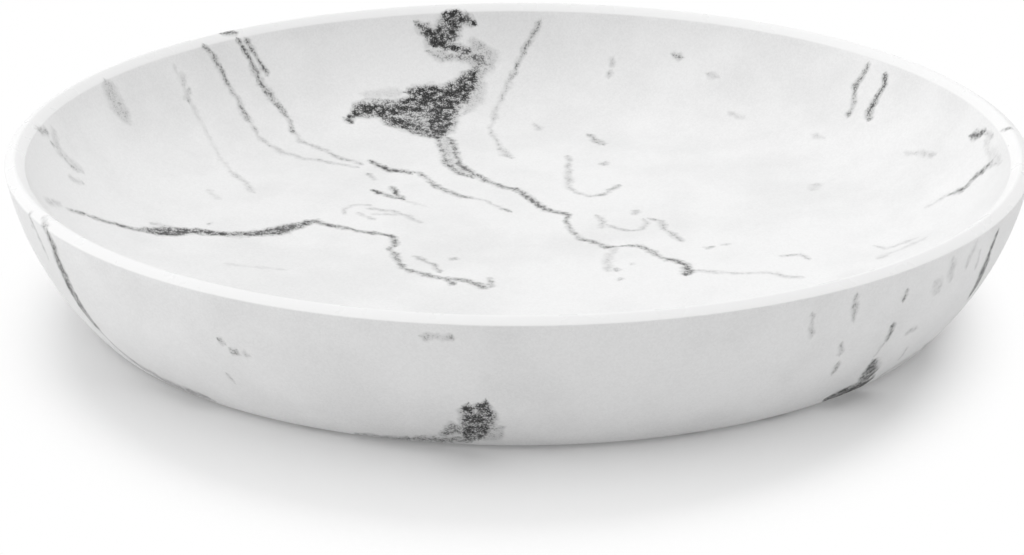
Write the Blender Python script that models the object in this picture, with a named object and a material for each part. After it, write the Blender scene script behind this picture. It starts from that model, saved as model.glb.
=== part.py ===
"""A round, shallow soap dish cast in white marble-look resin, on four self-adhesive non-slip pads.

Metres, +Z up. The origin is on the surface that the dish stands on, under the centre of the bowl."""

import math

import bmesh
import bpy
from mathutils import Vector

# Outside of the dish
OUTER_DIAMETER = 0.124
BODY_HEIGHT = 0.0185
RIM_LEAN_DEG = 10.6
BASE_INSET = 0.0094
BASE_EDGE_RADIUS = 0.0014

# The lip: a tight crest between two nearly flat flanks, each given by its slope at top and bottom
LIP_WIDTH = 0.00245
CREST_RADIUS = 0.0005
CREST_TURN_DEG = 34.0
OUTER_FLANK_TURN_DEG = 42.0
INNER_FLANK_TURN_DEG = 50.0

# Inside of the bowl
FLOOR_THICKNESS = 0.0042
FLOOR_ARC_RADIUS = 0.6
BOWL_CORNER_RADIUS = 0.020

# Non-slip pads, in shallow seats cast in the underside
PAD_COUNT = 4
PAD_DIAMETER = 0.009
PAD_THICKNESS = 0.001
PAD_EDGE_RADIUS = 0.0002
PAD_MARGIN = 0.0045
STAND_OFF = 0.0003
ADHESIVE_FILM = 0.0003
SEAT_SIDE_GAP = 0.0003

# Fineness of the round shapes
TURN_STEPS = 96
PAD_STEPS = 32
SEAT_STEPS = 32
BODY_SHARP_DEG = 14.0
PAD_SHARP_DEG = 50.0

rim_radius = OUTER_DIAMETER / 2
base_z = STAND_OFF
top_z = base_z + BODY_HEIGHT


def clear_scene():
    for old in list(bpy.data.objects):
        bpy.data.objects.remove(old, do_unlink=True)


def plain_material(name, colour, roughness):
    """A non-metal Principled material of one colour."""
    material = bpy.data.materials.new(name)
    material.use_nodes = True
    shader = material.node_tree.nodes["Principled BSDF"]
    shader.inputs["Base Color"].default_value = (*colour, 1.0)
    shader.inputs["Roughness"].default_value = roughness
    shader.inputs["Metallic"].default_value = 0.0
    return material


def new_object(name, bm, material, parent=None):
    mesh = bpy.data.meshes.new(name)
    bm.to_mesh(mesh)
    bm.free()
    obj = bpy.data.objects.new(name, mesh)
    bpy.context.collection.objects.link(obj)
    if material:
        mesh.materials.append(material)
    obj.parent = parent
    return obj


def smooth(obj, sharp_deg):
    obj.data.shade_smooth()
    obj.data.set_sharp_from_angle(angle=math.radians(sharp_deg))


def bearing(centre, point):
    """The angle at which a centre sees a point of the profile, from straight out."""
    return math.atan2(point.y - centre.y, point.x - centre.x)


def arc(centre, radius, start, end, steps):
    """The points of an arc in the profile, both ends included."""
    angles = [start + (end - start) * i / steps for i in range(steps + 1)]
    return [centre + radius * Vector((math.cos(a), math.sin(a))) for a in angles]


def inner_crossing(centre_a, radius_a, centre_b, radius_b):
    """The crossing of two circles that lies nearer to the dish's axis."""
    between = centre_b - centre_a
    distance = between.length
    along = (radius_a**2 - radius_b**2 + distance**2) / (2 * distance)
    aside = math.sqrt(radius_a**2 - along**2)
    unit = between / distance
    foot = centre_a + along * unit
    normal = Vector((-unit.y, unit.x))
    return min(foot + aside * normal, foot - aside * normal, key=lambda point: point.x)


def lip_flank(turn_deg, side):
    """The lip from its crest down to one edge, outwards for side 1 and inwards for side -1."""
    crest_turn = math.radians(CREST_TURN_DEG)
    turn = math.radians(turn_deg)
    crest_centre = Vector((rim_radius - LIP_WIDTH / 2, top_z - CREST_RADIUS))
    flank_spread = LIP_WIDTH / 2 - CREST_RADIUS * math.sin(crest_turn)
    flank_radius = flank_spread / (math.sin(turn) - math.sin(crest_turn))
    joint = Vector((side * math.sin(crest_turn), math.cos(crest_turn)))
    flank_centre = crest_centre + (CREST_RADIUS - flank_radius) * joint
    up = math.pi / 2
    crest = arc(crest_centre, CREST_RADIUS, up, up - side * crest_turn, 3)
    flank = arc(flank_centre, flank_radius, up - side * crest_turn, up - side * turn, 2)
    return crest + flank[1:]


def wall_circle():
    """The circle of the outer wall: through the rim and the base's corner, leaning in at the rim."""
    rim = lip_flank(OUTER_FLANK_TURN_DEG, 1)[-1]
    corner = Vector((rim_radius - BASE_INSET, base_z))
    lean = math.radians(RIM_LEAN_DEG)
    chord_lean = math.atan2(rim.x - corner.x, rim.y - corner.y)
    radius = (rim - corner).length / (2 * math.sin(chord_lean - lean))
    return rim - radius * Vector((math.cos(lean), -math.sin(lean))), radius


def base_edge_circle(wall_centre, wall_radius):
    """The circle that rounds the base's edge: inside the wall's circle and on the underside."""
    rise = wall_centre.y - base_z - BASE_EDGE_RADIUS
    reach = math.sqrt((wall_radius - BASE_EDGE_RADIUS) ** 2 - rise**2)
    return Vector((wall_centre.x + reach, base_z + BASE_EDGE_RADIUS))


def dish_profile():
    """(radius, height) points of the cast body, from under its centre round the lip to the bowl's centre."""
    wall_centre, wall_radius = wall_circle()
    edge_centre = base_edge_circle(wall_centre, wall_radius)
    outer_lip = lip_flank(OUTER_FLANK_TURN_DEG, 1)
    inner_lip = lip_flank(INNER_FLANK_TURN_DEG, -1)
    floor_centre = Vector((0.0, base_z + FLOOR_THICKNESS + FLOOR_ARC_RADIUS))
    corner_centre = inner_crossing(
        inner_lip[-1], BOWL_CORNER_RADIUS,
        floor_centre, FLOOR_ARC_RADIUS - BOWL_CORNER_RADIUS,
    )
    edge_turn = bearing(wall_centre, edge_centre)
    rim_turn = -math.radians(RIM_LEAN_DEG)
    corner_turn = bearing(corner_centre, inner_lip[-1])
    floor_turn = bearing(floor_centre, corner_centre)
    down = -math.pi / 2

    underside = [Vector((0.0, base_z))]
    base_edge = arc(edge_centre, BASE_EDGE_RADIUS, down, edge_turn, 4)
    outer_wall = arc(wall_centre, wall_radius, edge_turn, rim_turn, 9)
    bowl_corner = arc(corner_centre, BOWL_CORNER_RADIUS, corner_turn, floor_turn, 10)
    bowl_floor = arc(floor_centre, FLOOR_ARC_RADIUS, floor_turn, down, 4)
    bowl_floor[-1].x = 0.0
    outside = underside + base_edge + outer_wall[1:] + outer_lip[-2::-1]
    return outside + inner_lip[1:] + bowl_corner[1:] + bowl_floor[1:]


def pad_places():
    """The centres of the pads on their circle, inside the flat of the underside."""
    wall_centre, wall_radius = wall_circle()
    flat_radius = base_edge_circle(wall_centre, wall_radius).x
    circle_radius = flat_radius - PAD_MARGIN - PAD_DIAMETER / 2
    turns = [2 * math.pi * (i + 0.5) / PAD_COUNT for i in range(PAD_COUNT)]
    return [(circle_radius * math.cos(turn), circle_radius * math.sin(turn)) for turn in turns]


def turned_body(material, parent):
    """The cast body, turned from its profile."""
    bm = bmesh.new()
    points = [bm.verts.new((point.x, 0.0, point.y)) for point in dish_profile()]
    edges = [bm.edges.new(pair) for pair in zip(points, points[1:])]
    bmesh.ops.spin(
        bm, geom=points + edges, cent=(0, 0, 0), axis=(0, 0, 1),
        angle=2 * math.pi, steps=TURN_STEPS, use_merge=True,
    )
    bmesh.ops.remove_doubles(bm, verts=bm.verts[:], dist=1e-6)
    bmesh.ops.recalc_face_normals(bm, faces=bm.faces[:])
    body = new_object("dish_body", bm, material, parent)
    smooth(body, BODY_SHARP_DEG)
    return body


def upright_disc(name, diameter, low, high, steps, place, material, parent, edge_radius=0.0):
    """A round disc between two heights, its edges rounded where a radius is given."""
    bm = bmesh.new()
    bmesh.ops.create_cone(
        bm, cap_ends=True, segments=steps, radius1=diameter / 2, radius2=diameter / 2, depth=high - low,
    )
    if edge_radius:
        rims = [edge for edge in bm.edges if abs(edge.verts[0].co.z - edge.verts[1].co.z) < (high - low) / 2]
        bmesh.ops.bevel(
            bm, geom=rims, offset=edge_radius, offset_type="OFFSET", segments=2, profile=0.5,
            affect="EDGES",
        )
    disc = new_object(name, bm, material, parent)
    disc.location = (*place, (low + high) / 2)
    return disc


def cut_pad_seats(body, parent):
    """Shallow round seats in the underside, one over each pad."""
    depth = PAD_THICKNESS + ADHESIVE_FILM - STAND_OFF
    for number, place in enumerate(pad_places(), 1):
        cutter = upright_disc(
            f"seat_cutter_{number}", PAD_DIAMETER + 2 * SEAT_SIDE_GAP, base_z - depth, base_z + depth,
            SEAT_STEPS, place, None, parent,
        )
        cutter.hide_render = True
        cutter.display_type = "WIRE"
        cut = body.modifiers.new(f"seat_{number}", "BOOLEAN")
        cut.operation = "DIFFERENCE"
        cut.object = cutter


def foot_pads(material, parent):
    for number, place in enumerate(pad_places(), 1):
        pad = upright_disc(
            f"foot_pad_{number}", PAD_DIAMETER, 0.0, PAD_THICKNESS, PAD_STEPS, place, material, parent,
            PAD_EDGE_RADIUS,
        )
        smooth(pad, PAD_SHARP_DEG)


clear_scene()
soap_dish = bpy.data.objects.new("soap_dish", None)
bpy.context.collection.objects.link(soap_dish)
cast_resin = plain_material("cast_resin", (0.86, 0.86, 0.86), 0.35)
pad_foam = plain_material("pad_foam", (0.55, 0.55, 0.54), 0.8)
dish_body = turned_body(cast_resin, soap_dish)
cut_pad_seats(dish_body, soap_dish)
foot_pads(pad_foam, soap_dish)
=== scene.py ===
import math

import bpy
import numpy as np
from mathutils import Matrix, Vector


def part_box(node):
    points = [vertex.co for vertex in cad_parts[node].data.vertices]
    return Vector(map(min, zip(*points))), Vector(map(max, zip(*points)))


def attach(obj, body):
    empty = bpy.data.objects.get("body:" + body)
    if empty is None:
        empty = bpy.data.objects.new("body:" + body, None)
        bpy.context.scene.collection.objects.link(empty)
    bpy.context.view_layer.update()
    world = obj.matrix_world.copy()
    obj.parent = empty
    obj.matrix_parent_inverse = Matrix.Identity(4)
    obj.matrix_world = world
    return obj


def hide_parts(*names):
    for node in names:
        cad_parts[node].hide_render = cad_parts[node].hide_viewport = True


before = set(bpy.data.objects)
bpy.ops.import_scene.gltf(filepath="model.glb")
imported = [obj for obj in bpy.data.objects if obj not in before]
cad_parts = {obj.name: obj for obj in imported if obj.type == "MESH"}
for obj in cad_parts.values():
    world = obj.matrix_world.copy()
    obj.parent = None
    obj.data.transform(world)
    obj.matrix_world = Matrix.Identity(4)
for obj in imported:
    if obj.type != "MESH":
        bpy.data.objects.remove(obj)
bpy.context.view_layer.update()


# The dish is one casting of polyester resin filled with white marble powder. Black and grey pigment
# is dribbled into the open mould first, so it lies in veins at the surface. The casting is turned
# over, its underside is ground flat, and the lip is rubbed down and polished by hand.

TURN_STEPS = 384
BASE_EDGE_STEPS = 6
WALL_STEPS = 34
LIP_STEPS = 4
BOWL_CORNER_STEPS = 44
FLOOR_STEPS = 80
MERGE_DISTANCE = 0.000001
SMOOTH_ANGLE = math.radians(20)
RIM_LEAN = math.radians(10.6)
BASE_INSET = 0.0094
BASE_EDGE_RADIUS = 0.0014
GROUND_MARGIN = 0.001
LIP_WIDTH = 0.00245
CREST_RADIUS = 0.0005
CREST_TURN = math.radians(31)
OUTER_FLANK_TURN = math.radians(38)
INNER_FLANK_TURN = math.radians(45)
OUTER_LIP_EASE = 0.00011
INNER_LIP_EASE = 0.00008
FLOOR_THICKNESS = 0.0042
FLOOR_ARC_RADIUS = 0.6
BOWL_CORNER_RADIUS = 0.020
SEAT_CLEARANCE = 0.0003
SEAT_SIDES = 64

PADS = ["foot_pad_1", "foot_pad_2", "foot_pad_3", "foot_pad_4"]

body_low, body_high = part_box("dish_body")
rim_radius = (body_high.x - body_low.x) / 2
base_z = body_low.z
top_z = body_high.z


def arc(centre, radius, start, end, steps):
    """The points of an arc in the profile, both ends included."""
    turns = [start + (end - start) * i / steps for i in range(steps + 1)]
    return [centre + radius * Vector((math.cos(turn), math.sin(turn))) for turn in turns]


def bearing(centre, point):
    return math.atan2(point.y - centre.y, point.x - centre.x)


def inner_crossing(centre_a, radius_a, centre_b, radius_b):
    """The crossing of two circles that lies nearer to the dish's axis."""
    between = centre_b - centre_a
    along = (radius_a**2 - radius_b**2 + between.length_squared) / (2 * between.length)
    aside = math.sqrt(radius_a**2 - along**2)
    unit = between.normalized()
    normal = Vector((-unit.y, unit.x))
    crossings = [centre_a + along * unit + side * aside * normal for side in (-1, 1)]
    return min(crossings, key=lambda point: point.x)


def lip_flank(turn, side):
    """The lip from its crest down to one edge: a tight crest that runs on into a flatter flank."""
    crest = Vector((rim_radius - LIP_WIDTH / 2, top_z))
    spread = LIP_WIDTH / 2 - CREST_RADIUS * math.sin(CREST_TURN)
    flank_radius = spread / (math.sin(turn) - math.sin(CREST_TURN))
    crest_centre = crest - Vector((0, CREST_RADIUS))
    joint = Vector((side * math.sin(CREST_TURN), math.cos(CREST_TURN)))
    flank_centre = crest_centre + (CREST_RADIUS - flank_radius) * joint
    up = math.pi / 2
    joint_turn = up - side * CREST_TURN
    crest_arc = arc(crest_centre, CREST_RADIUS, up, joint_turn, LIP_STEPS)
    return crest_arc + arc(flank_centre, flank_radius, joint_turn, up - side * turn, LIP_STEPS)[1:]


def eased(before, corner, after, ease):
    """A corner of the profile, rounded between the two points that lie one ease away from it."""
    start = corner + ease * (before - corner).normalized()
    end = corner + ease * (after - corner).normalized()
    shares = [step / LIP_STEPS for step in range(LIP_STEPS + 1)]
    return [(1 - t) ** 2 * start + 2 * t * (1 - t) * corner + t**2 * end for t in shares]


def dish_profile():
    """(radius, height) points from the flat underside, up the wall, over the lip, to the bowl's centre."""
    outer_lip = lip_flank(OUTER_FLANK_TURN, 1)
    inner_lip = lip_flank(INNER_FLANK_TURN, -1)
    rim = outer_lip[-1]
    corner = Vector((rim_radius - BASE_INSET, base_z))
    chord = rim - corner
    wall_radius = chord.length / (2 * math.sin(math.atan2(chord.x, chord.y) - RIM_LEAN))
    wall_centre = rim - wall_radius * Vector((math.cos(RIM_LEAN), -math.sin(RIM_LEAN)))
    edge_rise = wall_centre.y - base_z - BASE_EDGE_RADIUS
    edge_reach = math.sqrt((wall_radius - BASE_EDGE_RADIUS) ** 2 - edge_rise**2)
    edge_centre = Vector((wall_centre.x + edge_reach, base_z + BASE_EDGE_RADIUS))
    floor_centre = Vector((0, base_z + FLOOR_THICKNESS + FLOOR_ARC_RADIUS))
    corner_centre = inner_crossing(
        inner_lip[-1], BOWL_CORNER_RADIUS, floor_centre, FLOOR_ARC_RADIUS - BOWL_CORNER_RADIUS
    )
    edge_turn = bearing(wall_centre, edge_centre)
    corner_turn = bearing(corner_centre, inner_lip[-1])
    floor_turn = bearing(floor_centre, corner_centre)
    wall = arc(wall_centre, wall_radius, edge_turn, -RIM_LEAN, WALL_STEPS)
    bowl_corner = arc(corner_centre, BOWL_CORNER_RADIUS, corner_turn, floor_turn, BOWL_CORNER_STEPS)
    profile = [Vector((edge_centre.x - GROUND_MARGIN, base_z))]
    profile += arc(edge_centre, BASE_EDGE_RADIUS, -math.pi / 2, edge_turn, BASE_EDGE_STEPS)
    profile += wall[1:-1]
    profile += eased(wall[-2], rim, outer_lip[-2], OUTER_LIP_EASE)
    profile += outer_lip[-2::-1]
    profile += inner_lip[1:-1]
    profile += eased(inner_lip[-2], inner_lip[-1], bowl_corner[1], INNER_LIP_EASE)
    profile += bowl_corner[1:]
    profile += arc(floor_centre, FLOOR_ARC_RADIUS, floor_turn, -math.pi / 2, FLOOR_STEPS)[1:]
    return profile


profile = dish_profile()
bpy.ops.object.select_all(action="DESELECT")
bpy.ops.mesh.primitive_plane_add(location=(profile[0].x, 0, profile[0].y))
dish = bpy.context.object
dish.name = "marbled_dish"
bpy.ops.object.transform_apply(location=True, rotation=True, scale=True)
bpy.ops.object.mode_set(mode="EDIT")
bpy.ops.mesh.select_all(action="SELECT")
bpy.ops.mesh.merge(type="CENTER")
for here, there in zip(profile, profile[1:]):
    bpy.ops.mesh.extrude_vertices_move(
        TRANSFORM_OT_translate={"value": (there.x - here.x, 0, there.y - here.y)}
    )
bpy.ops.object.mode_set(mode="OBJECT")
lathe = dish.modifiers.new("lathe", "SCREW")
lathe.steps = TURN_STEPS
lathe.render_steps = TURN_STEPS
lathe.use_merge_vertices = True
lathe.merge_threshold = MERGE_DISTANCE
bpy.ops.object.modifier_apply(modifier=lathe.name)
bpy.ops.object.mode_set(mode="EDIT")
bpy.ops.mesh.select_all(action="DESELECT")
bpy.ops.mesh.select_non_manifold()
bpy.ops.mesh.edge_face_add()
bpy.ops.mesh.select_all(action="SELECT")
bpy.ops.mesh.normals_make_consistent(inside=False)
bpy.ops.object.mode_set(mode="OBJECT")

bpy.ops.object.select_all(action="DESELECT")
cutters = []
for pad in PADS:
    pad_low, pad_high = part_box(pad)
    middle = (pad_low + pad_high) / 2
    bpy.ops.mesh.primitive_cylinder_add(
        vertices=SEAT_SIDES,
        radius=(pad_high.x - pad_low.x) / 2 + SEAT_CLEARANCE,
        depth=2 * (pad_high.z + SEAT_CLEARANCE - base_z),
        location=(middle.x, middle.y, base_z),
    )
    cutters.append(bpy.context.object)
for cutter in cutters:
    cutter.select_set(True)
bpy.ops.object.join()
bpy.context.view_layer.objects.active = dish
seats = dish.modifiers.new("seats", "BOOLEAN")
seats.object = cutters[-1]
bpy.ops.object.modifier_apply(modifier=seats.name)
bpy.data.objects.remove(cutters[-1])
bpy.ops.object.select_all(action="DESELECT")
dish.select_set(True)
bpy.ops.object.shade_smooth_by_angle(angle=SMOOTH_ANGLE)

# The runs of pigment are drawn on the cast surface laid out flat. A point's distance from the middle
# of that picture is its way along the profile from the bowl's centre, over the lip and down the wall,
# and +v is the back of the dish. Each run is how dark it is, and its path as (u, v, half-width) in
# millimetres. The blots are broad runs. A few runs along the foot of the wall are painted shade, the
# dark line where the dish meets the floor.

RUNS = [
    (0.95, [(-6.2, 62.4, 0.3), (-7, 63, 0.6), (-8.5, 63.2, 0.9), (-10.5, 63.4, 0.7)]),
    (1.0, [(-9.3, 63.3, 1.2), (-9.7, 62, 1.5), (-10.3, 60.6, 1.7), (-11.5, 59.5, 1.2)]),
    (0.92, [(-14.8, 61.5, 0.3), (-13.4, 60.9, 0.8), (-12.3, 59.8, 1.2), (-10, 59.2, 1.0)]),
    (0.88, [(-10.2, 59.4, 0.7), (-8.2, 58.8, 0.6), (-6.6, 58.6, 0.5)]),
    (0.45, [(-12.5, 57.8, 0.5), (-10.8, 57.6, 0.8), (-8.6, 57.6, 0.7)]),
    (0.65, [(-8, 57.4, 0.8), (-6.4, 57.8, 1.2), (-5.2, 57.5, 1.4), (-5.4, 56.2, 1.4), (-6.1, 55, 1.1)]),
    (0.4, [(-6.2, 60, 0.8), (-4.8, 58.8, 1.6), (-4.6, 57.2, 1.6), (-5.2, 55.8, 1.4), (-5.8, 54.2, 1.1)]),
    (0.95, [(-6.2, 55.2, 0.9), (-7, 53.4, 1.6), (-8.6, 51.6, 2.1), (-10, 49, 2.3), (-10.6, 46.5, 2.2),
            (-10.6, 44.3, 2.0), (-10.6, 42.5, 1.4), (-10.6, 41, 0.8)]),
    (0.32, [(-5.2, 54.2, 0.8), (-5.6, 52, 1.1), (-6.4, 50, 1.1), (-6.9, 48.2, 0.7)]),
    (0.95, [(-14.6, 51, 0.9), (-13, 51.3, 1.1), (-11, 51.6, 1.2)]),
    (0.95, [(-10.5, 50, 1.6), (-13.5, 49, 1.8), (-15.8, 47.7, 1.5), (-17.6, 47.4, 1.5), (-20, 46.8, 1.5),
            (-21.6, 45.8, 1.0), (-22.4, 44.3, 0.6)]),
    (0.8, [(-23, 44.1, 0.4), (-22.2, 43.5, 0.4)]),
    (0.2, [(-21, 49.3, 0.6), (-18.5, 50, 0.8), (-16, 50.6, 0.8)]),
    (0.88, [(-18.6, 46.3, 0.9), (-16.6, 45, 1.2), (-14.4, 44, 1.3), (-12.4, 42.7, 1.2),
            (-10.9, 41.6, 0.9)]),
    (0.7, [(-15.6, 47.3, 1.6), (-13.6, 46, 2.0), (-12, 44.7, 1.6)]),
    (0.32, [(-9.6, 41, 0.9), (-9.2, 37, 0.9), (-8.6, 32, 0.8), (-6.7, 28.5, 0.7)]),
    (0.9, [(-46, 2.3, 0.8), (-45, 2.6, 1.2), (-43.6, 3, 1.5), (-42, 3.3, 1.4), (-40.6, 3.7, 1.0),
           (-39, 3.8, 0.9)]),
    (0.88, [(-39.6, 3.8, 0.9), (-37, 3.6, 0.8), (-35, 3.3, 0.75), (-33.2, 4, 0.85), (-31.5, 4.6, 1.1),
            (-30, 5.5, 1.2), (-28.6, 6.6, 1.2), (-27.3, 8, 0.9), (-26, 9.3, 0.7)]),
    (0.3, [(-45.3, 5.2, 0.4), (-42.7, 4.9, 0.4)]),
    (0.78, [(-59, -33.5, 0.6), (-59.6, -35, 1.0), (-61, -35.8, 1.1), (-63, -37.1, 1.3), (-65, -38.5, 1.4),
            (-67.3, -40.3, 1.2), (-68.6, -42.5, 0.9)]),
    (0.38, [(-61.2, -27.3, 0.25), (-62.1, -29.2, 0.3), (-63.3, -31.4, 0.3), (-64.4, -32.6, 0.3)]),
    # This run goes on from the vein above down the wall, then follows the foot of the wall: that part is
    # painted shade, the dark line where the dish meets the floor.
    (0.5, [(-68.3, -41.8, 0.6), (-69.7, -44.5, 0.6), (-70.2, -47, 0.6), (-69, -51, 0.7), (-66.5, -55, 0.7),
           (-63.3, -59.2, 0.8), (-59.6, -63, 0.8), (-56, -66.2, 0.5)]),
    (0.86, [(-7.4, -79.3, 1.2), (-7.4, -81, 1.6), (-7.7, -83, 1.6), (-8.4, -85.4, 1.1)]),
    (0.9, [(-5, -79.1, 1.4), (-4.9, -80.6, 1.8), (-5.4, -82.4, 1.6), (-6.6, -84.8, 1.3)]),
    (0.6, [(-13.4, -84.6, 0.5), (-11.8, -83.6, 0.9), (-10.6, -83, 1.3), (-9.2, -83.3, 1.3)]),
    (0.36, [(-6, -85.2, 1.2), (-4.4, -84.6, 1.6), (-3, -83.6, 1.3)]),
    (0.97, [(64.8, -56.6, 0.9), (64, -58.4, 1.4), (62.2, -60.4, 1.5), (60, -62.4, 1.3), (57, -65.2, 0.8)]),
    (0.85, [(62, -57.6, 1.6), (59.6, -57.8, 1.6), (57.2, -57.4, 1.0)]),
    (0.3, [(-56.5, 29.6, 1.2), (-54.1, 28.4, 1.5), (-52.3, 27.3, 1.0)]),
    (0.22, [(-61.5, 12, 0.9), (-59.6, 9.4, 1.0), (-57.8, 10, 0.9), (-56, 10.2, 0.7)]),
    (0.45, [(-61.2, 9.3, 0.3), (-59.4, 9.8, 0.35), (-57.8, 9.2, 0.35), (-56.2, 9.3, 0.3)]),
    (0.3, [(-57, 6.4, 0.4), (-55.2, 7.3, 0.4)]),
    (0.18, [(-47.9, 40.9, 0.25), (-44.3, 37.8, 0.3), (-40.6, 32.9, 0.25), (-38.2, 28.3, 0.25),
            (-36.8, 26, 0.25)]),
    (0.15, [(-35.2, -7.6, 0.25), (-32.3, -7.8, 0.25), (-28, -8.4, 0.2)]),
    (0.72, [(-10.6, 41.5, 0.5), (-10.2, 38.4, 0.4), (-9.8, 36, 0.4), (-9.5, 32.6, 0.45), (-8.5, 30.5, 0.5),
            (-7.5, 28.4, 0.5), (-5.8, 27, 0.4)]),
    (0.72, [(-9.2, 41, 0.5), (-8.3, 38, 0.35), (-8.1, 36, 0.35), (-7.7, 32, 0.35), (-6.4, 29.7, 0.4),
            (-5.4, 28, 0.4), (-3.7, 25.6, 0.5), (-2, 23.5, 0.5), (0.5, 22.3, 0.4)]),
    (0.78, [(-0.5, 23, 0.45), (0.8, 21.5, 0.45), (1.3, 19.8, 0.45), (2.5, 17.3, 0.5), (3.3, 15.8, 0.45),
            (4.2, 14.8, 0.45), (5.4, 14.3, 0.4), (6.4, 13.3, 0.4)]),
    (0.68, [(6.3, 13.5, 0.35), (6, 11.5, 0.3), (6.7, 8.5, 0.3), (7.3, 6, 0.3), (8.1, 4.5, 0.35),
            (9.8, 2.8, 0.35), (11.2, 1.4, 0.35)]),
    (0.74, [(11, 1.5, 0.35), (12.4, 1.6, 0.35), (13.7, 2.1, 0.5), (15.1, 1.7, 0.4), (16, 0.3, 0.35),
            (16.8, -1.4, 0.4), (17.6, -2.9, 0.4), (19, -3.8, 0.5), (20, -5, 0.5), (20.8, -6.7, 0.5)]),
    (0.8, [(20.7, -6.5, 0.5), (20.8, -8, 0.7), (20.2, -9.2, 0.6)]),
    (0.38, [(21, -7.6, 0.3), (24.4, -9, 0.3), (27.3, -9.5, 0.3), (29.6, -9.5, 0.35), (30.8, -10.2, 0.35),
            (32.3, -11.6, 0.3), (34.2, -12.2, 0.25)]),
    (0.58, [(3.3, 63, 0.3), (1.7, 60.3, 0.28), (0.9, 58.6, 0.28), (-0.2, 56.5, 0.25), (-1.2, 54.4, 0.2)]),
    (0.34, [(-1.2, 54.4, 0.2), (-2.2, 51.2, 0.2), (-2.8, 49.5, 0.25), (-3, 47.6, 0.25), (-3.5, 45.2, 0.2),
            (-3.6, 42.2, 0.2)]),
    (0.36, [(-3.6, 43, 0.2), (-2.8, 40, 0.25), (-2.4, 38, 0.3), (-1.7, 35.4, 0.6), (-0.9, 34, 0.4)]),
    (0.68, [(-42.5, 50, 0.3), (-41.5, 50.8, 0.35), (-40.6, 51.5, 0.25)]),
    (0.76, [(-40, 50.3, 0.35), (-38.7, 49.6, 0.4), (-37.6, 48.6, 0.4), (-36.1, 47, 0.4),
            (-35.1, 45.7, 0.35), (-33.7, 44.6, 0.5), (-32.7, 43.4, 0.35), (-31.5, 42.7, 0.35),
            (-30.3, 41.3, 0.3), (-29.7, 39, 0.3)]),
    (0.45, [(-29.7, 39.2, 0.3), (-28.4, 37, 0.35), (-26.6, 36.2, 0.3), (-25.1, 35.2, 0.3),
            (-24.2, 34, 0.35), (-22.8, 32.3, 0.35), (-21, 31.8, 0.3), (-20.2, 30.7, 0.3)]),
    (0.7, [(-38.7, 51, 0.35), (-37.3, 49.8, 0.3), (-35.5, 48.5, 0.35), (-34.6, 47.6, 0.3)]),
    (0.9, [(-19.3, 32.3, 0.35), (-18, 30.4, 0.4), (-16.8, 29.2, 0.55), (-15.8, 28.9, 0.7),
           (-14.9, 28.9, 0.6), (-14, 27.8, 0.4)]),
    (0.7, [(-13.6, 28.7, 0.3), (-12.8, 28.2, 0.4), (-11.7, 26.4, 0.35), (-10.3, 23.4, 0.4), (-9.2, 22, 0.4),
           (-8, 21, 0.4), (-7, 20, 0.4), (-5.9, 19.5, 0.35)]),
    (0.33, [(-6, 19.6, 0.25), (-5, 19.2, 0.25), (-3.4, 17.7, 0.25), (-2.1, 16, 0.25)]),
    (0.6, [(-2, 16, 0.25), (-1, 14.7, 0.3)]),
    (0.65, [(-44.7, 46.5, 0.3), (-43.5, 46.3, 0.3), (-42.4, 45.6, 0.35), (-41, 44.5, 0.35),
            (-39.4, 43, 0.3), (-37.8, 41.7, 0.3), (-36.4, 39.7, 0.4), (-35.5, 38.5, 0.3)]),
    (0.36, [(-35.5, 38.5, 0.25), (-34, 36, 0.2), (-32, 34.5, 0.25), (-30.5, 33.2, 0.3), (-29, 33, 0.25),
            (-27.8, 32.1, 0.25), (-26, 31.9, 0.25), (-22.8, 30.4, 0.25), (-20.7, 29.7, 0.2)]),
    (0.42, [(-19.4, 27.5, 0.3), (-19, 26.7, 0.3), (-18.4, 25.5, 0.25)]),
    (0.85, [(-18.6, 21.5, 0.3), (-17, 20.3, 0.4), (-14.5, 18.7, 0.35)]),
    (0.9, [(-16.3, 23.1, 0.3), (-15.4, 20.6, 0.35), (-14.6, 18.8, 0.35)]),
    (0.25, [(-14.7, 18.6, 0.25), (-11.6, 16.2, 0.2)]),
    (0.72, [(-56.2, -3.8, 0.15), (-55, -2.2, 0.2), (-54, -1.2, 0.25), (-52, 0, 0.3), (-50, 1, 0.35),
            (-48.4, 1.6, 0.4), (-46.6, 1.8, 0.5), (-45, 2.4, 0.6)]),
    (0.8, [(-26.6, 9, 0.7), (-25.4, 9.7, 0.7), (-24.4, 9, 0.5), (-22.8, 8.2, 0.45), (-21, 7.6, 0.4),
           (-20, 6.8, 0.4), (-18.3, 6.2, 0.4), (-16.6, 5.7, 0.4), (-15.5, 5, 0.35)]),
    (0.7, [(-15.7, 5.3, 0.35), (-15.2, 3.7, 0.35), (-15.1, 1.7, 0.3)]),
    (0.68, [(-15.6, 1.2, 0.3), (-15.6, 0.2, 0.3), (-15.1, -1.4, 0.35), (-14.5, -3.9, 0.35),
            (-13.9, -6.4, 0.4), (-12.5, -7.7, 0.4), (-11.1, -8.9, 0.45)]),
    (0.76, [(-11.8, -8.3, 0.4), (-9.7, -9.6, 0.45), (-8.3, -10.2, 0.5), (-7.6, -12, 0.5)]),
    (0.65, [(-8.4, -10, 0.5), (-5.6, -11, 0.5), (-4.5, -12.6, 0.55), (-3.7, -13.5, 0.4)]),
    (0.6, [(-3.3, -9.5, 0.3), (-3.1, -11.3, 0.3), (-3.6, -13.3, 0.35)]),
    (0.5, [(-12.6, -2, 0.3), (-11.2, -3.9, 0.35), (-9.9, -5.1, 0.3), (-9.5, -7.6, 0.25)]),
    (0.3, [(51, 5.7, 0.2), (54, 5.6, 0.25), (55.2, 4.7, 0.3)]),
    (0.78, [(54.2, 5.4, 0.3), (55.2, 4.6, 0.45), (56, 3.9, 0.45), (57.6, 4.2, 0.45), (58.9, 4, 0.45),
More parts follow.
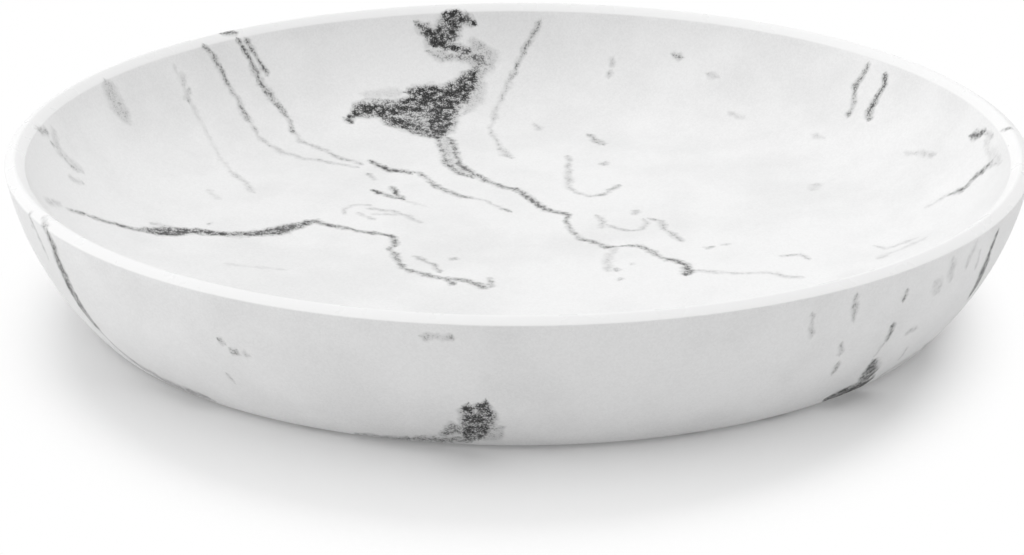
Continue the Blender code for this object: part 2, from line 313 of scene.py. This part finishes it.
            (59.7, 3.3, 0.45), (61.3, 3.1, 0.4)]),
    (0.4, [(60.9, 2.9, 0.3), (61.8, 0.6, 0.25)]),
    (0.78, [(59.8, 13.8, 0.5), (60.7, 12.7, 0.6), (61.9, 11.3, 0.5)]),
    (0.4, [(61.8, 10.9, 0.4), (62.7, 8, 0.35)]),
    (0.6, [(64.6, 6.6, 0.35), (65.8, 5.4, 0.35)]),
    (0.18, [(61.4, 9.5, 0.5), (61.7, 4.5, 0.5), (62.6, -0.8, 0.4)]),
    (0.62, [(49.2, 40.3, 0.3), (48, 39.7, 0.35), (46.2, 38.7, 0.4), (45.4, 37.2, 0.35), (45, 35.7, 0.3),
            (44, 34.8, 0.3)]),
    (0.8, [(51, 37, 0.35), (50.3, 35.8, 0.4), (49, 35, 0.4), (48, 34.4, 0.45), (47, 33.4, 0.5),
           (46.6, 32.3, 0.4)]),
    (0.32, [(-21.8, 12.7, 0.25), (-22, 14.8, 0.25), (-20.8, 16, 0.25), (-18.7, 16.2, 0.25)]),
    (0.35, [(-20, 13.5, 0.25), (-18, 11, 0.25)]),
    (0.38, [(-19, 15, 0.25), (-15.8, 14.4, 0.3), (-13.7, 12.7, 0.3), (-12, 10.4, 0.25)]),
    (0.28, [(-18.3, 13, 0.25), (-14.5, 13, 0.2)]),
    (0.34, [(10, 13.1, 0.3), (10.8, 11, 0.3), (10.4, 8.6, 0.25)]),
    (0.38, [(11.2, 9.8, 0.25), (12.5, 8, 0.3), (14.1, 7.2, 0.3), (15.6, 7.9, 0.25)]),
    (0.32, [(15.4, 7.8, 0.25), (16.3, 9.9, 0.25), (15.8, 11.5, 0.25)]),
    (0.5, [(16.4, 11.5, 0.3), (17.9, 10.7, 0.3), (18.3, 7.4, 0.3), (19.6, 5, 0.35), (20.2, 3, 0.35)]),
    (0.5, [(9.4, 42, 0.5), (10.2, 40.2, 0.5), (11.3, 38.5, 0.4)]),
    (0.4, [(6.7, 34.7, 0.25), (6.5, 29, 0.3), (6.5, 26, 0.35), (6.8, 23, 0.3), (7.5, 21.4, 0.3),
           (9.1, 20.1, 0.3)]),
    (0.5, [(8.8, 20.1, 0.3), (10.8, 20.5, 0.35), (11.7, 22, 0.4), (12.9, 24, 0.3)]),
    (0.32, [(12, 1, 0.4), (11.2, -1.8, 0.4), (10.8, -4.7, 0.4), (11, -7.2, 0.4)]),
    (0.28, [(43.6, -2.2, 0.3), (44.8, -4, 0.3), (46.5, -3.3, 0.3), (49, -3.1, 0.3)]),
    (0.28, [(43.6, -7, 0.3), (45.6, -5.7, 0.3), (48, -4.8, 0.3), (50, -4.5, 0.25)]),
    (0.28, [(50.5, 21.6, 0.3), (52.2, 19.8, 0.3), (54, 17, 0.3)]),
    (0.35, [(-37, 26.2, 0.2), (-35.3, 23.4, 0.3), (-33.6, 19.2, 0.35)]),
    (0.2, [(-39.4, 18.8, 0.3), (-37.8, 16, 0.3)]),
    (0.42, [(-64, 7.7, 0.5), (-62.3, 10, 0.5)]),
    (0.28, [(-57.3, -3.6, 0.4), (-59, -9, 0.4)]),
    (0.5, [(-59.3, -29.8, 0.2), (-59, -31.5, 0.2), (-58.8, -33.5, 0.3)]),
    (0.4, [(-44.3, -65.6, 0.25), (-44.7, -67, 0.25)]),
    # These two runs follow the foot of the front wall: painted shade, the grey line where the dish meets
    # the floor.
    (0.55, [(-30, -82.2, 0.35), (-24.7, -83.6, 0.45), (-19.6, -84.7, 0.5)]),
    (0.62, [(-19, -84.8, 0.6), (-15, -85.4, 0.8), (-12, -85.6, 0.7), (-8, -86, 0.6)]),
    (0.42, [(-11.5, -68, 0.3), (-7.6, -68.7, 0.3)]),
    (0.7, [(49.8, -49.8, 0.5), (50.5, -50.5, 0.4)]),
    (0.78, [(54.6, -54.4, 0.5), (52.8, -53, 0.4)]),
    (0.35, [(54.8, -55, 0.25), (55.8, -57, 0.25)]),
    (0.45, [(41.5, -54.6, 0.3), (43.1, -56.3, 0.4), (44.1, -57, 0.3)]),
    (0.5, [(45.4, -60, 0.4), (46.8, -61, 0.4)]),
    (0.45, [(48.4, -62, 0.4), (49.7, -63.2, 0.4)]),
    (0.92, [(61.5, -30.4, 0.4), (62.8, -31.6, 0.6), (64.7, -32.7, 1.0), (67.4, -32.9, 1.3),
            (69.1, -33.2, 1.1), (70.6, -33.7, 0.5)]),
    (0.25, [(67.3, -54.4, 0.6), (69.8, -50, 0.9), (72.6, -45.8, 0.9), (75, -41.4, 0.8)]),
    (0.6, [(74.4, -42, 0.5), (76.2, -39, 0.8), (77.4, -37.6, 0.5)]),
    (0.35, [(74, -40.7, 0.4), (72, -43.3, 0.4)]),
    (0.5, [(-38.4, 6.5, 0.2), (-38, 7.2, 0.2)]),
    (0.35, [(-8, -3, 0.4), (-7.7, -2.3, 0.4)]),
    (0.6, [(12, -7.1, 0.4), (12.1, -6.5, 0.4)]),
    (0.5, [(12.2, -10.7, 0.3), (12.4, -10, 0.3)]),
    (0.4, [(13.8, -5, 0.25), (14, -4.5, 0.25)]),
    (0.6, [(23.3, 0, 0.35), (23.8, 0.7, 0.35)]),
    (0.35, [(25.3, 1.1, 0.3), (26, 1.2, 0.3)]),
    (0.4, [(32.2, -4, 0.35), (34.5, -3.5, 0.3), (35.3, -5.5, 0.25)]),
    (0.35, [(14.5, 13.5, 0.5), (15, 14.5, 0.5)]),
    (0.45, [(11.2, 31.2, 0.35), (11.4, 32.4, 0.35)]),
    (0.45, [(12.4, 54.1, 0.3), (12.7, 54.9, 0.3)]),
    (0.3, [(12.9, 55.7, 0.3), (13.3, 56.8, 0.3)]),
    (0.3, [(2.3, 45.5, 0.3), (3, 44, 0.4)]),
    (0.5, [(21.8, 55.5, 0.3), (23, 54.8, 0.4)]),
    (0.35, [(26.4, 51, 0.3), (27.4, 50.3, 0.4)]),
    (0.25, [(28.5, 43.5, 0.4), (29.8, 42, 0.4)]),
    (0.2, [(37.6, 19.7, 0.7), (38, 21.3, 0.7)]),
    (0.25, [(38.7, 34.3, 0.4), (40, 33, 0.4)]),
    (0.4, [(-44.9, 39, 0.4), (-44.4, 37.4, 0.5)]),
    (0.25, [(-46.5, 40.5, 0.5), (-45.8, 39.4, 0.5)]),
    (0.5, [(-62.7, -28.2, 0.3), (-62.3, -28.9, 0.3)]),
    (0.6, [(-40.2, -61.5, 0.3), (-39.8, -62.4, 0.3)]),
    (0.7, [(-39.4, -63.5, 0.35), (-38.8, -64.2, 0.35)]),
    (0.45, [(-37.6, -64.8, 0.25), (-37, -65.3, 0.25)]),
    (0.3, [(59.9, -49.3, 0.35), (57.9, -51.3, 0.3)]),
    (0.3, [(66, -51, 0.3), (63.4, -50.6, 0.3)]),
    (0.26, [(54.8, -41.4, 0.5), (56.2, -42.2, 0.6), (57.8, -42.4, 0.5)]),
    (0.3, [(60.1, -35.4, 0.35), (62.5, -36.2, 0.3)]),
    (0.26, [(57.4, -36.4, 0.5), (58.4, -37.8, 0.5), (59.4, -38.9, 0.4)]),
    (0.2, [(54.6, -45.2, 0.8), (56.6, -44.8, 0.8)]),
    (0.36, [(36.6, -59.4, 0.3), (38.2, -61, 0.3), (38.9, -61.6, 0.3)]),
    (0.7, [(14, 68, 0.4), (15.5, 71, 0.5), (15, 75, 0.6), (17.5, 79, 0.5), (19, 84, 0.6)]),
    (0.45, [(15.5, 74, 0.3), (12, 78, 0.35), (10.5, 83, 0.3)]),
    (0.9, [(-32, 72, 0.6), (-33.5, 74, 1.5), (-35.5, 76, 1.9), (-37, 78.5, 1.0)]),
    (0.5, [(-30, 70, 0.3), (-26, 73, 0.3), (-24, 78, 0.4), (-20, 82, 0.3)]),
    (0.4, [(-55, 48, 0.3), (-58, 52, 0.4), (-59, 57, 0.35), (-62, 60, 0.3)]),
    (0.65, [(-70, 22, 0.4), (-74, 24, 0.5), (-79, 23, 0.5), (-84, 25, 0.6)]),
    (0.3, [(-5, 72, 0.3), (-3, 77, 0.35), (-4, 83, 0.3)]),
    (0.6, [(45, 53, 0.3), (47, 57, 0.45), (52, 60, 0.4), (54, 65, 0.5)]),
    (0.85, [(60, 48, 0.5), (62, 50, 1.2), (64, 51, 1.4), (66, 53, 0.8)]),
    (0.4, [(66, 30, 0.3), (70, 29, 0.3), (74, 33, 0.35), (78, 33, 0.3)]),
    (0.3, [(35, 64, 0.3), (35, 70, 0.3), (32, 75, 0.3)]),
    (0.5, [(36, 77, 0.3), (37.5, 78.5, 0.35)]),
    (0.4, [(-45, 62, 0.3), (-46, 64.5, 0.35)]),
]

# Each corner of the mesh keeps how far it lies to the side of the nearest runs, how wide these are
# there, and how dark. The ground underside shows none of them.

MM = 1000.0
NEAREST_RUNS = 4
TAPER = 0.5
STRAIGHT_DOWN = -0.99
GROUND_WAY = -1.0

corners = np.array([tuple(point) for point in reversed(profile)]) * MM
strides = np.diff(corners, axis=0)
stride_lengths = np.linalg.norm(strides, axis=1)
ways = np.concatenate([[0], np.cumsum(stride_lengths)])


def way_along_profile(rings):
    """How far (radius, height) points lie along the profile from the bowl's centre, in millimetres."""
    way = np.empty(len(rings))
    miss = np.full(len(rings), np.inf)
    for corner, stride, length, start in zip(corners, strides, stride_lengths, ways):
        along = np.clip((rings - corner) @ stride / length**2, 0, 1)
        apart = np.linalg.norm(rings - corner - along[:, None] * stride, axis=1)
        closer = apart < miss
        way[closer] = start + along[closer] * length
        miss[closer] = apart[closer]
    return way


mesh = dish.data
points = np.empty(len(mesh.vertices) * 3)
mesh.vertices.foreach_get("co", points)
points = points.reshape(-1, 3) * MM
way = way_along_profile(np.column_stack([np.hypot(points[:, 0], points[:, 1]), points[:, 2]]))
turn = np.arctan2(points[:, 1], points[:, 0])
picture = np.column_stack([way * np.cos(turn), way * np.sin(turn)])
lip_edges = [lip_flank(INNER_FLANK_TURN, -1)[-1], lip_flank(OUTER_FLANK_TURN, 1)[-1]]
inner_lip_way, outer_lip_way = way_along_profile(np.array(lip_edges) * MM)

loop_points = np.empty(len(mesh.loops), dtype=int)
mesh.loops.foreach_get("vertex_index", loop_points)
first_loops = np.empty(len(mesh.polygons), dtype=int)
mesh.polygons.foreach_get("loop_start", first_loops)
loop_counts = np.empty(len(mesh.polygons), dtype=int)
mesh.polygons.foreach_get("loop_total", loop_counts)
faces_down = np.array([face.normal.z < STRAIGHT_DOWN for face in mesh.polygons])
ground = np.repeat(faces_down, loop_counts)

asides, widths, depths = [], [], []
for _, path in RUNS:
    stations = np.array(path)
    ahead = stations[-1, :2] - stations[0, :2]
    ahead /= np.linalg.norm(ahead)
    across = np.array([-ahead[1], ahead[0]])
    along = stations[:, :2] @ ahead
    sideways = stations[:, :2] @ across
    tips = along[0] - stations[0, 2] - TAPER, along[-1] + stations[-1, 2] + TAPER
    along = np.concatenate([tips[:1], along, tips[1:]])
    sideways = np.concatenate([sideways[:1], sideways, sideways[-1:]])
    half_widths = np.concatenate([[-TAPER], stations[:, 2], [-TAPER]])
    point_along = picture @ ahead
    aside = picture @ across - np.interp(point_along, along, sideways)
    half_width = np.interp(point_along, along, half_widths)
    asides.append(aside)
    widths.append(half_width)
    depths.append(np.maximum.reduceat((half_width - np.abs(aside))[loop_points], first_loops))
asides, widths = np.array(asides), np.array(widths)
darknesses = np.array([darkness for darkness, _ in RUNS])
nearest = np.argsort(-np.array(depths), axis=0)[:NEAREST_RUNS]
for rank, runs in enumerate(nearest, start=1):
    runs = np.repeat(runs, loop_counts)
    field = np.column_stack([asides[runs, loop_points], widths[runs, loop_points], darknesses[runs]])
    field[ground] = (0, -TAPER, 0)
    kept = mesh.attributes.new(f"pigment_{rank}", "FLOAT_VECTOR", "CORNER")
    kept.data.foreach_set("vector", field.astype(np.float32).ravel())
kept = mesh.attributes.new("way", "FLOAT", "CORNER")
kept.data.foreach_set("value", np.where(ground, GROUND_WAY, way[loop_points]).astype(np.float32))


def connect(tree, value, socket):
    """Links a node's output to the socket, or writes a plain value into it."""
    if isinstance(value, bpy.types.NodeSocket):
        tree.links.new(value, socket)
    else:
        socket.default_value = value


def calculate(tree, operation, *values):
    """What a Math node makes of the values."""
    node = tree.nodes.new("ShaderNodeMath")
    node.operation = operation
    for value, socket in zip(values, node.inputs):
        connect(tree, value, socket)
    return node.outputs["Value"]


def ramp(tree, value, low, high, to_low=0.0, to_high=1.0):
    """Runs smoothly from one value to another while the input goes from low to high."""
    node = tree.nodes.new("ShaderNodeMapRange")
    node.interpolation_type = "SMOOTHSTEP"
    for setting, socket in zip((value, low, high, to_low, to_high), node.inputs):
        connect(tree, setting, socket)
    return node.outputs["Result"]


def toward(tree, value, other, share):
    """The value, moved towards another one by a share of the way."""
    return calculate(tree, "MULTIPLY_ADD", share, calculate(tree, "SUBTRACT", other, value), value)


def millimetres(tree):
    """Places on the piece in millimetres, so that noise sizes are real sizes."""
    where = tree.nodes.new("ShaderNodeTexCoord")
    node = tree.nodes.new("ShaderNodeVectorMath")
    node.operation = "SCALE"
    node.inputs["Scale"].default_value = MM
    connect(tree, where.outputs["Object"], node.inputs[0])
    return node.outputs["Vector"]


def blobs(tree, place, size, detail=2.0):
    """A random value from 0 to 1 that changes over about the given size."""
    node = tree.nodes.new("ShaderNodeTexNoise")
    node.inputs["Scale"].default_value = 1 / size
    node.inputs["Detail"].default_value = detail
    connect(tree, place, node.inputs["Vector"])
    return node.outputs["Fac"]


def grains(tree, place, size):
    """Two random values from 0 to 1 for each grain of about the given size."""
    node = tree.nodes.new("ShaderNodeTexVoronoi")
    node.inputs["Scale"].default_value = 1 / size
    connect(tree, place, node.inputs["Vector"])
    parts = tree.nodes.new("ShaderNodeSeparateColor")
    connect(tree, node.outputs["Color"], parts.inputs["Color"])
    return parts.outputs["Red"], parts.outputs["Green"]


def kept_on_mesh(tree, name):
    """The node that reads what the mesh's corners keep under a name."""
    node = tree.nodes.new("ShaderNodeAttribute")
    node.attribute_name = name
    return node


def paint_grey(tree, tone):
    """Gives the surface a neutral colour of the given tone."""
    grey = tree.nodes.new("ShaderNodeCombineColor")
    for channel in grey.inputs:
        connect(tree, tone, channel)
    connect(tree, grey.outputs["Color"], tree.nodes["Principled BSDF"].inputs["Base Color"])


def emboss(tree, height, depth):
    """Raises the surface by a depth in metres where the height goes from 0 to 1."""
    relief = tree.nodes.new("ShaderNodeBump")
    relief.inputs["Distance"].default_value = depth
    connect(tree, height, relief.inputs["Height"])
    connect(tree, relief.outputs["Normal"], tree.nodes["Principled BSDF"].inputs["Normal"])


# The edges of the pigment and of the painted shade wander by half a millimetre, and their runs swell and
# thin out on their way.

NOISE_SPAN = (0.3, 0.7)
WANDER_SIZES = (2.2, 0.7)
QUICK_WANDER = 0.6
SWELLING_SIZE = 1.6
SWELLING = 0.14
EDGE_BLUR = 0.4
EDGE_BLUR_PER_WIDTH = 0.35

resin = bpy.data.materials.new("cast_marble_resin")
resin.use_nodes = True
tree = resin.node_tree
spot = millimetres(tree)
way_here = kept_on_mesh(tree, "way").outputs["Fac"]
slow_wander, quick_wander = [
    calculate(tree, "SUBTRACT", blobs(tree, spot, size), 0.5) for size in WANDER_SIZES
]
shift = calculate(tree, "MULTIPLY_ADD", quick_wander, QUICK_WANDER, slow_wander)
swelling = ramp(tree, blobs(tree, spot, SWELLING_SIZE), *NOISE_SPAN, -SWELLING, SWELLING)
pigment_and_shade = 0.0
for rank in range(1, NEAREST_RUNS + 1):
    run = tree.nodes.new("ShaderNodeSeparateXYZ")
    connect(tree, kept_on_mesh(tree, f"pigment_{rank}").outputs["Vector"], run.inputs["Vector"])
    aside = calculate(tree, "ABSOLUTE", calculate(tree, "ADD", run.outputs["X"], shift))
    half_width = calculate(tree, "ADD", run.outputs["Y"], swelling)
    inside = calculate(tree, "SUBTRACT", half_width, aside)
    blur = calculate(tree, "MULTIPLY_ADD", run.outputs["Y"], EDGE_BLUR_PER_WIDTH, EDGE_BLUR)
    filled = ramp(tree, inside, calculate(tree, "MULTIPLY", blur, -1.0), blur)
    pigment_and_shade = calculate(tree, "MAXIMUM", pigment_and_shade, calculate(tree, "MULTIPLY", filled, run.outputs["Z"]))

# Grinding has cut the underside's veins through, so there they are thin lines along a level of noise.

CUT_VEIN_SPACING = 34.0
CUT_VEIN_WIDTH = 0.01
CUT_PATCH_SIZE = 17.0
CUT_PATCH_SPAN = (0.45, 0.6)
CUT_DARKNESS = 0.75

ground_here = calculate(tree, "LESS_THAN", way_here, 0.0)
level = blobs(tree, spot, CUT_VEIN_SPACING, detail=5.0)
off_level = calculate(tree, "ABSOLUTE", calculate(tree, "SUBTRACT", level, 0.5))
patches = ramp(tree, blobs(tree, spot, CUT_PATCH_SIZE), *CUT_PATCH_SPAN, 0.0, CUT_DARKNESS)
cut_vein = calculate(tree, "MULTIPLY", ramp(tree, off_level, 0.0, CUT_VEIN_WIDTH, 1.0, 0.0), patches)
pigment_and_shade = calculate(tree, "MAXIMUM", pigment_and_shade, calculate(tree, "MULTIPLY", cut_vein, ground_here))

# Pigment sinks in between the grains of powder, so it shows as dark grains, closer where it is dense.
# The painted shade along the foot of the wall is grained the same way.

GRAIN_SIZE = 0.22
MOTTLE_SIZE = 0.8
MOTTLE_SPAN = (0.35, 0.65)
MOTTLE_STRENGTHS = (0.68, 1.15)
FLOODING = 1.25
DARK_GRAIN_SPAN = (-0.05, 0.5)
GRAININESS = 0.1
GRAININESS_PER_DENSITY = 0.52

mottle = ramp(tree, blobs(tree, spot, MOTTLE_SIZE, detail=3.0), *MOTTLE_SPAN, *MOTTLE_STRENGTHS)
density = calculate(tree, "MINIMUM", calculate(tree, "MULTIPLY", pigment_and_shade, mottle), 1.0)
sink = ramp(tree, blobs(tree, spot, GRAIN_SIZE, detail=1.0), *NOISE_SPAN)
over = calculate(tree, "SUBTRACT", calculate(tree, "MULTIPLY", density, FLOODING), sink)
graininess = calculate(tree, "MULTIPLY_ADD", density, GRAININESS_PER_DENSITY, GRAININESS)
ink_and_shade = toward(tree, density, ramp(tree, over, *DARK_GRAIN_SPAN), graininess)

# The powder is a cloudy white with a faint sparkle. The polished lip is glossier, and painted whiter: a
# painted highlight along the lip.

POWDER_TONES = (0.86, 0.93)
CLOUD_SIZE = 22.0
FINE_CLOUD_SIZE = 7.0
FINE_CLOUD_SHARE = 0.4
CLOUD_SPAN = (0.35, 0.62)
SPARKLE = 0.05
PAINTED_HIGHLIGHT_TONE = 0.97
POLISH_AND_HIGHLIGHT_EDGE = 0.15
INK_AND_SHADE_TONE = 0.012
SATIN_SIZE = 4.0
SATIN_ROUGHNESSES = (0.34, 0.44)
GROUND_ROUGHNESS = 0.62
POLISH = 0.08
GLOSS = 0.4
RIPPLE_SIZE = 3.0
RIPPLE_DEPTH = 0.000004

clouds = blobs(tree, spot, CLOUD_SIZE, detail=3.0)
clouds = toward(tree, clouds, blobs(tree, spot, FINE_CLOUD_SIZE, detail=4.0), FINE_CLOUD_SHARE)
tone = ramp(tree, clouds, *CLOUD_SPAN, *POWDER_TONES)
grain_tone = grains(tree, spot, GRAIN_SIZE)[1]
tone = calculate(tree, "MULTIPLY_ADD", calculate(tree, "SUBTRACT", grain_tone, 0.5), SPARKLE, tone)
# Over the lip the tone is painted whiter, a painted highlight where the lip catches the light, and the
# surface turns glossier.
polish_and_highlight = calculate(
    tree,
    "MULTIPLY",
    ramp(tree, way_here, inner_lip_way - POLISH_AND_HIGHLIGHT_EDGE, inner_lip_way + POLISH_AND_HIGHLIGHT_EDGE),
    ramp(tree, way_here, outer_lip_way - POLISH_AND_HIGHLIGHT_EDGE, outer_lip_way + POLISH_AND_HIGHLIGHT_EDGE, 1.0, 0.0),
)
tone = toward(tree, tone, PAINTED_HIGHLIGHT_TONE, polish_and_highlight)
# The runs darken the tone here: pigment in the veins and blots, painted shade along the foot of the wall.
paint_grey(tree, toward(tree, tone, INK_AND_SHADE_TONE, ink_and_shade))
satin = ramp(tree, blobs(tree, spot, SATIN_SIZE, detail=3.0), *NOISE_SPAN, *SATIN_ROUGHNESSES)
satin = toward(tree, satin, GROUND_ROUGHNESS, ground_here)
shader = tree.nodes["Principled BSDF"]
connect(tree, calculate(tree, "MULTIPLY_ADD", polish_and_highlight, -POLISH, satin), shader.inputs["Roughness"])
shader.inputs["Specular IOR Level"].default_value = GLOSS
emboss(tree, blobs(tree, spot, RIPPLE_SIZE), RIPPLE_DEPTH)
dish.data.materials.clear()
dish.data.materials.append(resin)
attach(dish, "root")
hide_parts("dish_body")


# The pads are die-cut from grey closed-cell foam with an adhesive film on one side. Each is pressed
# into its seat in the underside, so that the dish stands on foam and does not slip.

PAD_ROUNDING = 0.0002
ROUNDING_STEPS = 4
FOAM_TONE = 0.49
FOAM_SPECKLE = 0.09
FOAM_ROUGHNESS = 0.85
CELL_SIZE = 0.25
CELL_DEPTH = 0.00003
FILM_THICKNESS = 0.00028
FILM_SUNK = 0.00004
FILM_INSET = 0.0002
FILM_TONES = (0.66, 0.74)
FILM_ROUGHNESS = 0.25
SMEAR_SIZE = 1.5

foam = bpy.data.materials.new("closed_cell_foam")
foam.use_nodes = True
tree = foam.node_tree
cell_level, cell_tone = grains(tree, millimetres(tree), CELL_SIZE)
paint_grey(tree, calculate(tree, "MULTIPLY_ADD", cell_tone, FOAM_SPECKLE, FOAM_TONE))
emboss(tree, cell_level, CELL_DEPTH)
tree.nodes["Principled BSDF"].inputs["Roughness"].default_value = FOAM_ROUGHNESS

film = bpy.data.materials.new("adhesive_film")
film.use_nodes = True
tree = film.node_tree
paint_grey(tree, ramp(tree, blobs(tree, millimetres(tree), SMEAR_SIZE), *NOISE_SPAN, *FILM_TONES))
tree.nodes["Principled BSDF"].inputs["Roughness"].default_value = FILM_ROUGHNESS

for number, pad in enumerate(PADS, start=1):
    pad_low, pad_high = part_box(pad)
    middle = (pad_low + pad_high) / 2
    radius = (pad_high.x - pad_low.x) / 2
    bpy.ops.object.select_all(action="DESELECT")
    bpy.ops.mesh.primitive_cylinder_add(
        vertices=SEAT_SIDES, radius=radius, depth=pad_high.z - pad_low.z, location=middle
    )
    disc = bpy.context.object
    disc.name = f"non_slip_pad_{number}"
    rounding = disc.modifiers.new("rounding", "BEVEL")
    rounding.width = PAD_ROUNDING
    rounding.segments = ROUNDING_STEPS
    bpy.ops.object.modifier_apply(modifier=rounding.name)
    disc.data.materials.append(foam)
    bpy.ops.mesh.primitive_cylinder_add(
        vertices=SEAT_SIDES,
        radius=radius - FILM_INSET,
        depth=FILM_THICKNESS,
        location=(middle.x, middle.y, pad_high.z + FILM_THICKNESS / 2 - FILM_SUNK),
    )
    film_disc = bpy.context.object
    film_disc.data.materials.append(film)
    disc.select_set(True)
    bpy.context.view_layer.objects.active = disc
    bpy.ops.object.join()
    bpy.ops.object.transform_apply(location=True, rotation=True, scale=True)
    bpy.ops.object.shade_smooth_by_angle(angle=SMOOTH_ANGLE)
    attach(disc, "root")
    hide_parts(pad)


# The floor is a plain white sheet, larger than any view of the dish reaches. It keeps the dish's
# shadow inside an oval close by, and fades from there into the white background. It also glows a
# little for every ray, painted light that lifts its shadow and lights the foot of the dish. From below
# it is see-through, so that the underside can be looked at.

FLOOR_SIZE = 6.0
FLOOR_DROP = 0.00005
SHADOW_CENTRE = (-0.002, -0.010, 0.0)
SHADOW_SIZE = (0.0535, 0.0655, 1.0)
SHADOW_FADE = (0.9, 1.18)
FLOOR_WHITE = 0.85
FLOOR_GLOW = 0.1

bpy.ops.object.select_all(action="DESELECT")
bpy.ops.mesh.primitive_plane_add(size=FLOOR_SIZE, location=(0, 0, -FLOOR_DROP))
floor = bpy.context.object
floor.name = "floor"
paper = bpy.data.materials.new("white_floor")
paper.use_nodes = True
tree = paper.node_tree
shader = tree.nodes["Principled BSDF"]
shader.inputs["Roughness"].default_value = 1.0
shader.inputs["Specular IOR Level"].default_value = 0.0
place = tree.nodes.new("ShaderNodeTexCoord")
oval = tree.nodes.new("ShaderNodeMapping")
oval.vector_type = "TEXTURE"
oval.inputs["Location"].default_value = SHADOW_CENTRE
oval.inputs["Scale"].default_value = SHADOW_SIZE
connect(tree, place.outputs["Object"], oval.inputs["Vector"])
reach = tree.nodes.new("ShaderNodeVectorMath")
reach.operation = "LENGTH"
connect(tree, oval.outputs["Vector"], reach.inputs[0])
rays = tree.nodes.new("ShaderNodeLightPath")
fade = ramp(tree, reach.outputs["Value"], *SHADOW_FADE)
fade = calculate(tree, "MULTIPLY", fade, rays.outputs["Is Camera Ray"])
paint_grey(tree, toward(tree, FLOOR_WHITE, 1.0, fade))
backdrop = tree.nodes.new("ShaderNodeEmission")
from_above = tree.nodes.new("ShaderNodeMixShader")
# The floor's glow: painted light given off everywhere, which lifts the shadow and lights the dish's foot.
connect(tree, calculate(tree, "MAXIMUM", fade, FLOOR_GLOW), from_above.inputs["Fac"])
connect(tree, shader.outputs["BSDF"], from_above.inputs[1])
connect(tree, backdrop.outputs["Emission"], from_above.inputs[2])
seen_side = tree.nodes.new("ShaderNodeNewGeometry")
see_through = tree.nodes.new("ShaderNodeBsdfTransparent")
both_sides = tree.nodes.new("ShaderNodeMixShader")
connect(tree, seen_side.outputs["Backfacing"], both_sides.inputs["Fac"])
connect(tree, from_above.outputs["Shader"], both_sides.inputs[1])
connect(tree, see_through.outputs["BSDF"], both_sides.inputs[2])
connect(tree, both_sides.outputs["Shader"], tree.nodes["Material Output"].inputs["Surface"])
floor.data.materials.append(paper)


# Soft studio light: a softbox on each side, the left one stronger, and a broad one overhead.
# The side of the camera stays dark, and the camera sees a plain white background.

SOFT_LIGHTS = [
    ((-1, 0, 0), 4, 2.12),
    ((1, 0, 0), 4, 1.02),
    ((0, 0, 1), 2, 1.53),
]

world = bpy.data.worlds.new("soft_studio")
bpy.context.scene.world = world
world.use_nodes = True
tree = world.node_tree
place = tree.nodes.new("ShaderNodeTexCoord")
light_sum = 0.0
for direction, sharpness, strength in SOFT_LIGHTS:
    facing = tree.nodes.new("ShaderNodeVectorMath")
    facing.operation = "DOT_PRODUCT"
    facing.inputs[1].default_value = direction
    connect(tree, place.outputs["Generated"], facing.inputs[0])
    in_front = calculate(tree, "MAXIMUM", facing.outputs["Value"], 0.0)
    falloff = calculate(tree, "POWER", in_front, sharpness)
    light_sum = calculate(tree, "MULTIPLY_ADD", falloff, strength, light_sum)
rays = tree.nodes.new("ShaderNodeLightPath")
seen = calculate(tree, "MAXIMUM", rays.outputs["Is Camera Ray"], rays.outputs["Is Glossy Ray"])
seen = calculate(tree, "MAXIMUM", seen, rays.outputs["Is Transmission Ray"])
background = tree.nodes["Background"]
background.inputs["Color"].default_value = (1, 1, 1, 1)
connect(tree, toward(tree, light_sum, 1.0, seen), background.inputs["Strength"])


# The camera looks at the dish from half a metre away, 20 degrees above the floor. It is aimed a
# little beside the dish's middle, as in the photograph.

CAMERA_DISTANCE = 0.496
CAMERA_RISE = math.radians(19.99)
CAMERA_AIM = Vector((-0.00069, 0, 0.001165))

camera_data = bpy.data.cameras.new("camera")
camera_data.sensor_width = 36
camera_data.lens = 141.68
camera_data.clip_start = 0.01
camera = bpy.data.objects.new("camera", camera_data)
bpy.context.collection.objects.link(camera)
camera.location = (
    0, -CAMERA_DISTANCE * math.cos(CAMERA_RISE), base_z + CAMERA_DISTANCE * math.sin(CAMERA_RISE)
)
camera.rotation_euler = (CAMERA_AIM - camera.location).to_track_quat("-Z", "Y").to_euler()
bpy.context.scene.camera = camera
bpy.context.scene.view_settings.view_transform = "Standard"
